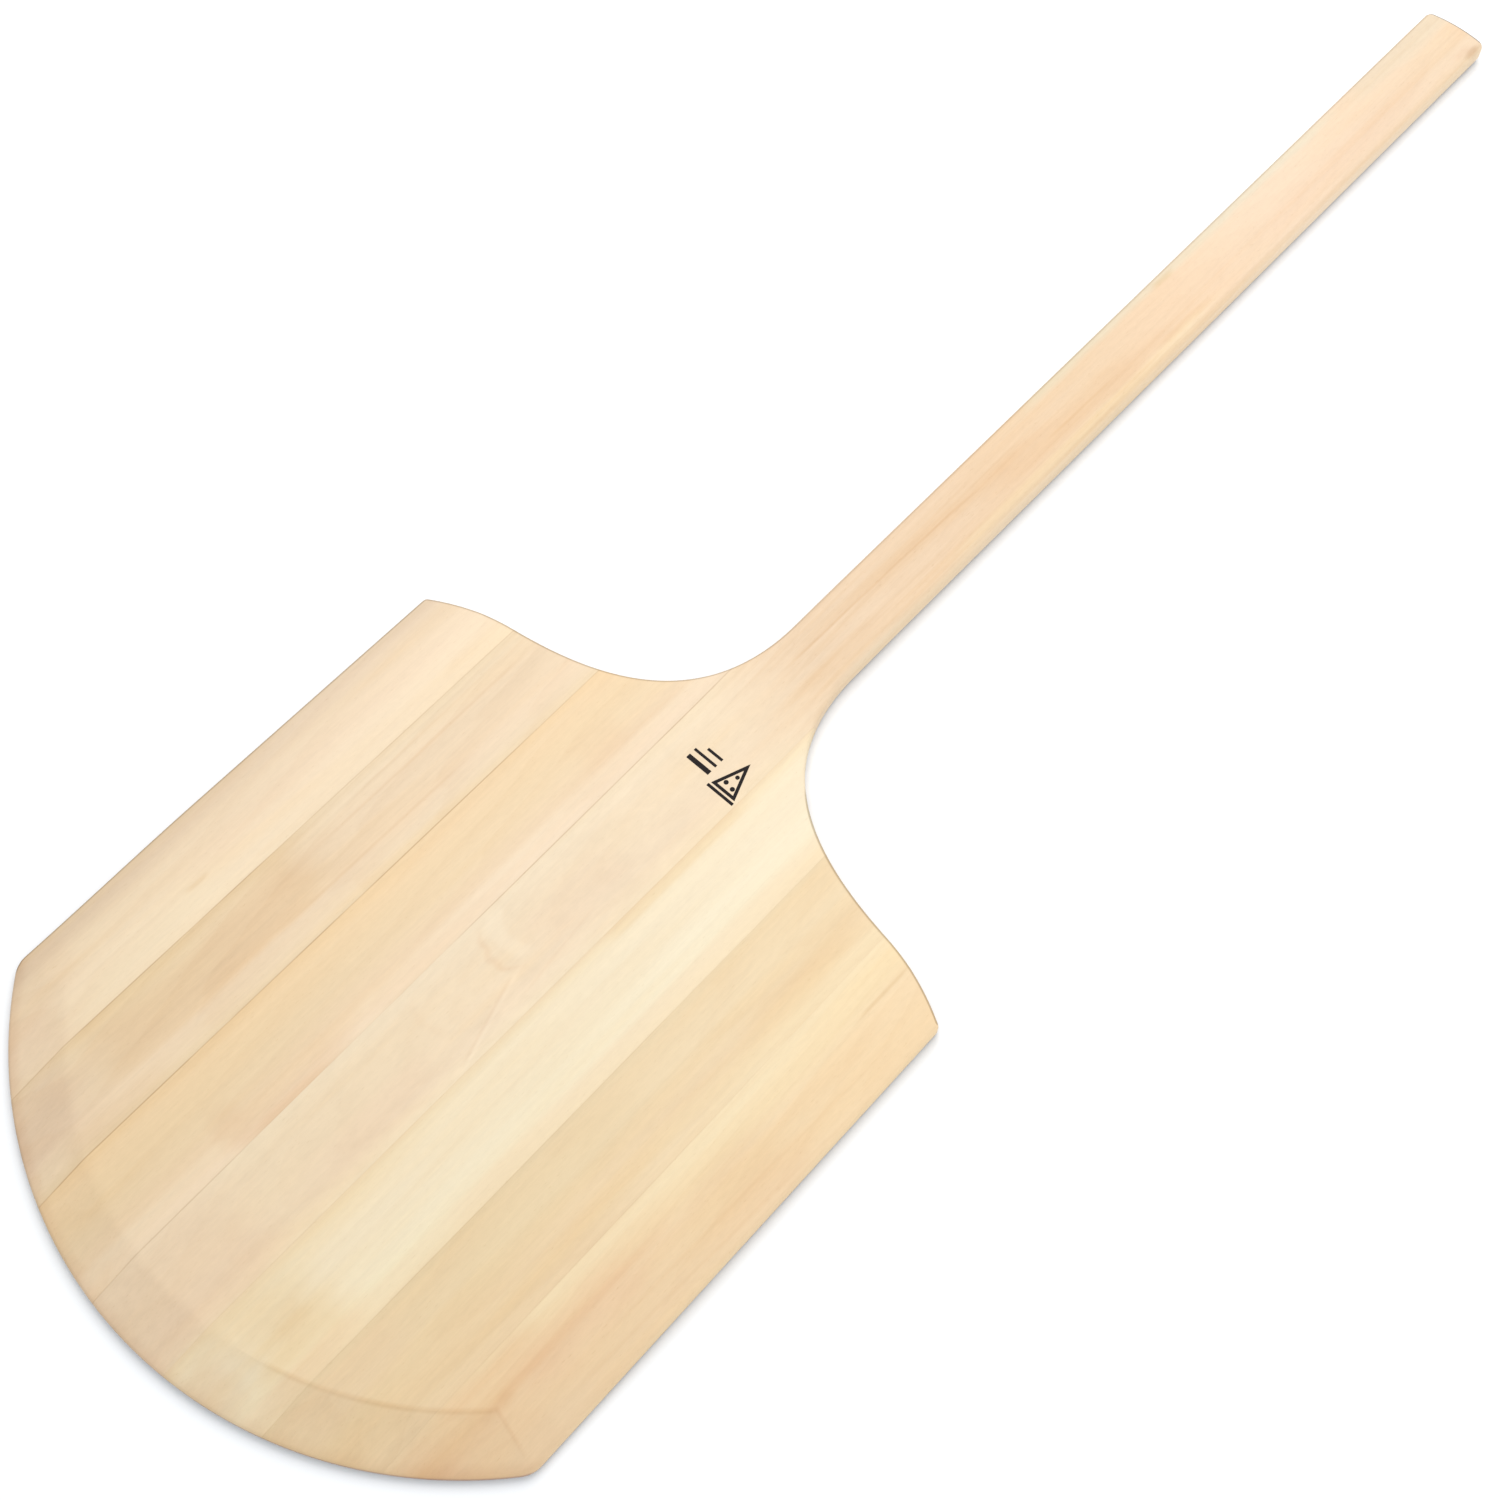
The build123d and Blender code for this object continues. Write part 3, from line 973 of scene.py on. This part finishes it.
def streaks(s, colour):
    """Streaks of a few widths, all drawn out along the grain, a fine mottle and warmer zones."""
    parts = (
        (s.grain(BROAD_STREAKS), BROAD_STRENGTH * s.streaks),
        (s.medium, MEDIUM_STRENGTH * s.streaks),
        (s.fine, FINE_STRENGTH),
        (s.grain(MOTTLE), MOTTLE_STRENGTH),
        (s.grain(SOFT_CLOUDS), CLOUD_STRENGTH),
    )
    shade = 1.0
    for value, strength in parts:
        shade = s.affine(s.minus(value, 0.5), strength, shade)
    return s.tint(s.shaded(colour, shade), WARM_TINT, s.fade(s.grain(WARMTH), *WARM_LEVELS))


def handle_figure(s, colour):
    """Darker bands along the handle, and curly figure on the blade."""
    bands = s.fade(s.grain(HANDLE_BANDS), *BAND_LEVELS)
    colour = s.tint(colour, BAND_TINT, s.times(bands, s.fade(s.along, *HANDLE_FADE)))
    curl = s.affine(s.minus(s.grain(CURL), 0.5), CURL_STRENGTH, 1.0)
    return s.mix(s.fade(s.along, *HANDLE_FADE[::-1]), colour, s.shaded(colour, curl))


def marks(s, colour):
    """The stave's own patches, clouds and figure, and its pores as short dark dashes."""
    for tint, factor in s.marks:
        colour = s.tint(colour, tint, factor(s))
    return s.tint(colour, PORE_TINT, s.times(s.pores, PORE_STRENGTH))


def bevel(s, colour):
    """The bevel is a little darker as painted shade, and dark lines follow its crease and its mitre."""
    from_middle = s.distance(s.x, s.minus(s.along, TIP_RADIUS))
    out = s.minus(from_middle, CREASE_RADIUS)
    ahead = s.fade(s.along, *BEVEL_FADE)
    upper = s.fade(s.z, *UPPER_SIDE)
    colour = s.tint(colour, BEVEL_SHADE_TINT, s.times(s.fade(out, *ON_BEVEL), ahead))
    near_rim = s.times(s.fade(out, *NEAR_RIM), ahead, s.affine(s.uneven, 0.4, 0.6))
    colour = s.tint(colour, NEAR_RIM_TINT, near_rim)
    crease = s.times(
        s.fade(s.math("ABSOLUTE", out), *CREASE_LINE),
        ahead,
        upper,
        s.fade(s.x, *CREASE_LEFT_END),
        s.fade(s.x, *CREASE_RIGHT_END),
        s.affine(s.uneven, 0.5, 0.5),
    )
    colour = s.tint(colour, CREASE_TINT, crease)
    level = s.affine(s.x, -MITRE_SLOPE, MITRE_START_Y - TIP_Y + FACET_X * MITRE_SLOPE)
    mitre = s.times(
        s.fade(s.math("ABSOLUTE", s.minus(s.along, level)), *MITRE_LINE),
        s.fade(s.x, *MITRE_LEFT_END),
        s.fade(s.x, *MITRE_RIGHT_END),
        upper,
    )
    return s.tint(colour, MITRE_TINT, mitre)


def seams(s, colour):
    """The glue seams on both sides, uneven along their length, and 1 inside their grooves."""
    grooves = []
    for line, stops in list(zip(GLUE_LINES, SEAMS))[max(s.index - 1, 0):s.index + 1]:
        away = s.math("ABSOLUTE", s.minus(s.x, line_x(s, line)))
        groove = s.fade(away, SEAM_HALF_WIDTH, SEAM_HALF_WIDTH * 0.2)
        strength = stops_along(s, [(p, (v, v, v, 1)) for p, v in stops])
        shown = s.times(groove, strength, s.affine(s.uneven, 0.6, 0.4))
        colour = s.tint(colour, SEAM_TINT, shown)
        grooves.append(groove)
    return colour, s.math("MAXIMUM", grooves[0], grooves[-1])


def end_grain_and_wear(s, colour):
    """End grain is browner, and the rim is a little worn."""
    end_grain = s.fade(s.math("ABSOLUTE", s.wall_y), *END_GRAIN_FACING)
    colour = s.tint(colour, END_GRAIN_TINT, end_grain)
    worn = s.math("MULTIPLY", s.fade(s.rim, *WORN), s.affine(s.medium, 0.8, 0.3), clamp=True)
    return s.tint(colour, WORN_TINT, worn)


def near_wall(s, colour):
    """Painted light makes the near wall paler, as if lit from its side, and painted shade gives a dark
    line along the front.
    """
    lit_wall = s.times(s.fade(s.near, *NEAR_WALL_LIT_FACING), s.fade(s.rim, *NEAR_WALL_LIT_RIM))
    colour = s.tint(colour, NEAR_WALL_LIGHT_TINT, lit_wall)
    colour = s.tint(colour, NEAR_WALL_HANDLE_LIGHT_TINT, s.times(lit_wall, s.off_blade))
    front = s.times(
        s.fade(s.outward_y, *FORWARD),
        s.fade(s.near, *FRONT_LINE_FACING),
        s.fade(s.z, *FRONT_LINE_Z),
    )
    return s.tint(colour, FRONT_SHADE_TINT, front)


def far_rim_shade(s, colour):
    """Painted shade: the far rim has a dark line, fainter on the handle's side and stronger at its end.
    """
    at_end = s.fade(s.outward_y, *BACKWARD)
    width = s.affine(at_end, FAR_LINE_END_EXTRA, FAR_LINE_HANDLE)
    width = s.affine(s.minus(FAR_LINE_BLADE, width), s.on_blade, width)
    line = s.fade(s.minus(s.rim, width), FAR_LINE_SOFT, -FAR_LINE_SOFT)
    line = s.times(line, s.fade(s.near, *FAR_FACING))
    handle_side = s.times(s.off_blade, s.minus(1.0, at_end))
    colour = s.tint(colour, FAR_RIM_SHADE_TINT, s.times(line, s.affine(handle_side, -0.5, 1.0)))
    return s.tint(colour, HANDLE_END_SHADE_TINT, s.times(line, s.off_blade, at_end))


def foot_shade(s, colour):
    """Painted shade: the foot of every wall is darker, where it meets the floor."""
    top = s.affine(s.on_blade, FOOT_BLADE_EXTRA, FOOT_TOP)
    return s.tint(colour, FOOT_SHADE_TINT, s.fade(s.z, top, FOOT_FULL))


def surfaced(s, colour, groove):
    """The finished material: its relief and roughness follow the streaks, pores and seams."""
    relief = s.affine(s.fine, FINE_RELIEF, s.times(s.medium, MEDIUM_RELIEF))
    relief = s.affine(s.pores, PORE_RELIEF, relief)
    normal = s.bump(s.affine(groove, SEAM_RELIEF, relief), RELIEF_STRENGTH, RELIEF_DEPTH)
    rough = s.affine(s.pores, PORE_ROUGHNESS, s.affine(s.medium, MEDIUM_ROUGHNESS, ROUGHNESS))
    return s.finish(Base_Color=colour, Roughness=rough, Normal=normal, Specular_IOR_Level=0.3)


def wood_material(name, index):
    """One stave's wood."""
    s = WoodShader(name, index)
    colour = streaks(s, growth_rings(s, across(s)))
    if s.is_handle_board:
        colour = handle_figure(s, colour)
    colour, groove = seams(s, bevel(s, marks(s, colour)))
    for step in (end_grain_and_wear, near_wall, far_rim_shade, foot_shade):
        colour = step(s, colour)
    return surfaced(s, colour, groove)


# ---- mark

# A plain pictogram stamped in ink on the deck by the neck: a slice, with three bars next to it.
# It reads from the handle's end. The mark's middle is in millimetres from the peel's middle and
# tip, and its shapes are in millimetres from there.
MARK_MIDDLE = (8.3, 391.5)
MARK_INK = 0.03 * MM
SLICE_CORNERS = ((-16.5, 9.5), (-0.5, 9.5), (-8.5, -11.5))
SLICE_LINE = 1.8
CRUST = ((-17.2, 12.3), (0.2, 12.3), (0.2, 10.6), (-17.2, 10.6))
TOPPINGS = ((-11.2, 5.2, 1.35), (-6.2, 4.4, 1.35), (-8.7, -1.4, 1.2))
BARS = (
    ((3.5, 7.6), (18.5, 4.8)),
    ((3.5, 2.0), (18.5, 0.4)),
    ((3.5, -2.6), (13.5, -4.2)),
)
CIRCLE_POINTS = 24
INK_COLOUR = (0.011, 0.008, 0.008, 1)
THIN_INK_COLOUR = (0.05, 0.032, 0.024, 1)
INK_GRAIN = (0.05, 900, 2.0)
INK_SPECKLES = (1, 2200)
INK_RELIEF_DEPTH = 0.05 * MM


def on_deck(points, lift):
    """Mark points laid on the deck, turned half way round so that they read from the handle."""
    x = (MARK_MIDDLE[0] - points[:, 0]) * MM
    y = (MARK_MIDDLE[1] - points[:, 1]) * MM + TIP_Y
    return np.stack([x, y, top_height(x, y) + lift], 1)


def filled_plate(loop):
    """A thin closed plate of ink inside a convex loop."""
    loop = np.array(loop)
    count = len(loop)
    points = np.vstack([on_deck(loop, MARK_INK), on_deck(loop, -MARK_INK)])
    faces = [tuple(range(count)), tuple(range(2 * count - 1, count - 1, -1))]
    faces += [(k, k + count, (k + 1) % count + count, (k + 1) % count) for k in range(count)]
    return points, faces


def outline_plate(outer, inner):
    """A thin closed plate of ink between two loops of equally many points."""
    count = len(outer)
    loops = [np.array(outer), np.array(inner)]
    points = np.vstack([on_deck(loop, lift) for lift in (MARK_INK, -MARK_INK) for loop in loops])
    faces = []
    for k in range(count):
        n = (k + 1) % count
        faces += [
            (k, n, n + count, k + count),
            (k + 2 * count, k + 3 * count, n + 3 * count, n + 2 * count),
            (k, k + 2 * count, n + 2 * count, n),
            (k + count, n + count, n + 3 * count, k + 3 * count),
        ]
    return points, faces


def circle(x, y, radius):
    angles = np.linspace(0, 2 * math.pi, CIRCLE_POINTS, endpoint=False)
    return np.stack([x + radius * np.cos(angles), y + radius * np.sin(angles)], 1)


def shrunk(corners, line):
    """The corners of a triangle whose sides lie one line's width further in."""
    corners = np.array(corners, float)
    sides = [np.linalg.norm(corners[(k + 1) % 3] - corners[(k + 2) % 3]) for k in range(3)]
    middle = (corners * np.array(sides)[:, None]).sum(0) / sum(sides)
    a, b, c = corners
    area = abs((b[0] - a[0]) * (c[1] - a[1]) - (c[0] - a[0]) * (b[1] - a[1])) / 2
    inradius = 2 * area / sum(sides)
    return middle + (corners - middle) * (inradius - line) / inradius


def ink_material():
    """Matt black ink, thinner along the grain and in specks."""
    s = Shader("stamp_ink")
    place = s.node("TexCoord").outputs["Object"]
    grain = s.noise(place, *INK_GRAIN)
    speckle = s.noise(place, *INK_SPECKLES)
    thin = s.affine(s.fade(speckle, 0.55, 0.75), 0.35, s.times(s.fade(grain, 0.5, 0.75), 0.2))
    colour = s.mix(thin, INK_COLOUR, THIN_INK_COLOUR)
    rough = s.affine(speckle, 0.2, 0.5)
    normal = s.bump(grain, 0.2, INK_RELIEF_DEPTH)
    return s.finish(Base_Color=colour, Roughness=rough, Normal=normal, Specular_IOR_Level=0.1)


def make_mark():
    plates = [outline_plate(SLICE_CORNERS, shrunk(SLICE_CORNERS, SLICE_LINE)), filled_plate(CRUST)]
    plates += [filled_plate(circle(*topping)) for topping in TOPPINGS]
    plates += [filled_plate(((x0, y0), (x1, y0), (x1, y1), (x0, y1))) for (x0, y0), (x1, y1) in BARS]
    points = []
    faces = []
    for plate_points, plate_faces in plates:
        first = len(points)
        points.extend(plate_points.tolist())
        faces.extend(tuple(first + k for k in face) for face in plate_faces)
    mesh = bpy.data.meshes.new("stamped_mark")
    mesh.from_pydata(points, [], faces)
    edited(mesh, lambda bm: bmesh.ops.recalc_face_normals(bm, faces=bm.faces))
    mesh.materials.append(ink_material())
    mark = link(bpy.data.objects.new("stamped_mark", mesh))
    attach(mark, "root")


# ---- stage

# The floor lies a hair under the peel, so that the two never share a plane.
FLOOR_HALF_SIZE = 25.0
FLOOR_Z = -0.2 * MM
FLOOR_COLOUR = (0.82, 0.82, 0.82, 1)

LIGHT_AIM = Vector((0.0, -0.1, 0.0))
SKY_COLOUR = (0.9, 0.965, 1.02, 1)

# Round soft lights: place, size, power and colour
LIGHTS = {
    "key": (Vector((-0.42, 0.55, 1.25)), 1.5, 15.0, (1.08, 0.99, 0.93)),
    "fill": (Vector((1.3, 0.5, 0.55)), 1.0, 3.6, (0.93, 0.97, 1.0)),
}

# The camera looks at a point of the floor from a distance, an elevation above the horizon, a
# heading that turns from +Y towards -X, and with a small roll.
CAMERA_AIM = Vector((4.92 * MM, -123.5 * MM, 0.0))
CAMERA_DISTANCE = 1105.5 * MM
CAMERA_ELEVATION = math.radians(63.364)
CAMERA_HEADING = math.radians(90 - 47.393)
CAMERA_ROLL = math.radians(0.328)
CAMERA_LENS = 51.472


def make_floor():
    mesh = bpy.data.meshes.new("floor")
    size = FLOOR_HALF_SIZE
    corners = [(x, y, FLOOR_Z) for x, y in ((-size, -size), (size, -size), (size, size), (-size, size))]
    mesh.from_pydata(corners, [], [(0, 1, 2, 3)])
    paint = Shader("floor_paint")
    mesh.materials.append(paint.finish(Base_Color=FLOOR_COLOUR, Roughness=0.9, Specular_IOR_Level=0.0))
    link(bpy.data.objects.new("floor", mesh))


def make_lights():
    for name, (place, size, power, colour) in LIGHTS.items():
        data = bpy.data.lights.new(name, "AREA")
        data.shape = "DISK"
        data.size = size
        data.energy = power
        data.color = colour
        light = link(bpy.data.objects.new(name, data))
        light.location = place
        light.rotation_mode = "QUATERNION"
        light.rotation_quaternion = (LIGHT_AIM - place).to_track_quat("-Z", "Y")
    world = bpy.data.worlds.new("studio")
    bpy.context.scene.world = world
    world.use_nodes = True
    world.node_tree.nodes["Background"].inputs[0].default_value = SKY_COLOUR


def make_camera():
    data = bpy.data.cameras.new("camera")
    data.lens = CAMERA_LENS
    camera = link(bpy.data.objects.new("camera", data))
    level = math.cos(CAMERA_ELEVATION)
    ahead = level * math.cos(CAMERA_HEADING)
    looking = Vector((-level * math.sin(CAMERA_HEADING), ahead, -math.sin(CAMERA_ELEVATION)))
    camera.location = CAMERA_AIM - looking * CAMERA_DISTANCE
    camera.rotation_mode = "QUATERNION"
    roll = Matrix.Rotation(CAMERA_ROLL, 3, looking)
    camera.rotation_quaternion = (roll @ looking.to_track_quat("-Z", "Y").to_matrix()).to_quaternion()
    scene = bpy.context.scene
    scene.camera = camera
    scene.view_settings.view_transform = "Standard"
    scene.view_settings.look = "None"


def finish_staves():
    for index, (name, piece) in enumerate(build_staves().items()):
        piece.data.materials.append(wood_material(name, index))
        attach(piece, "root")
        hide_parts(name)


finish_staves()
make_mark()
make_floor()
make_lights()
make_camera()
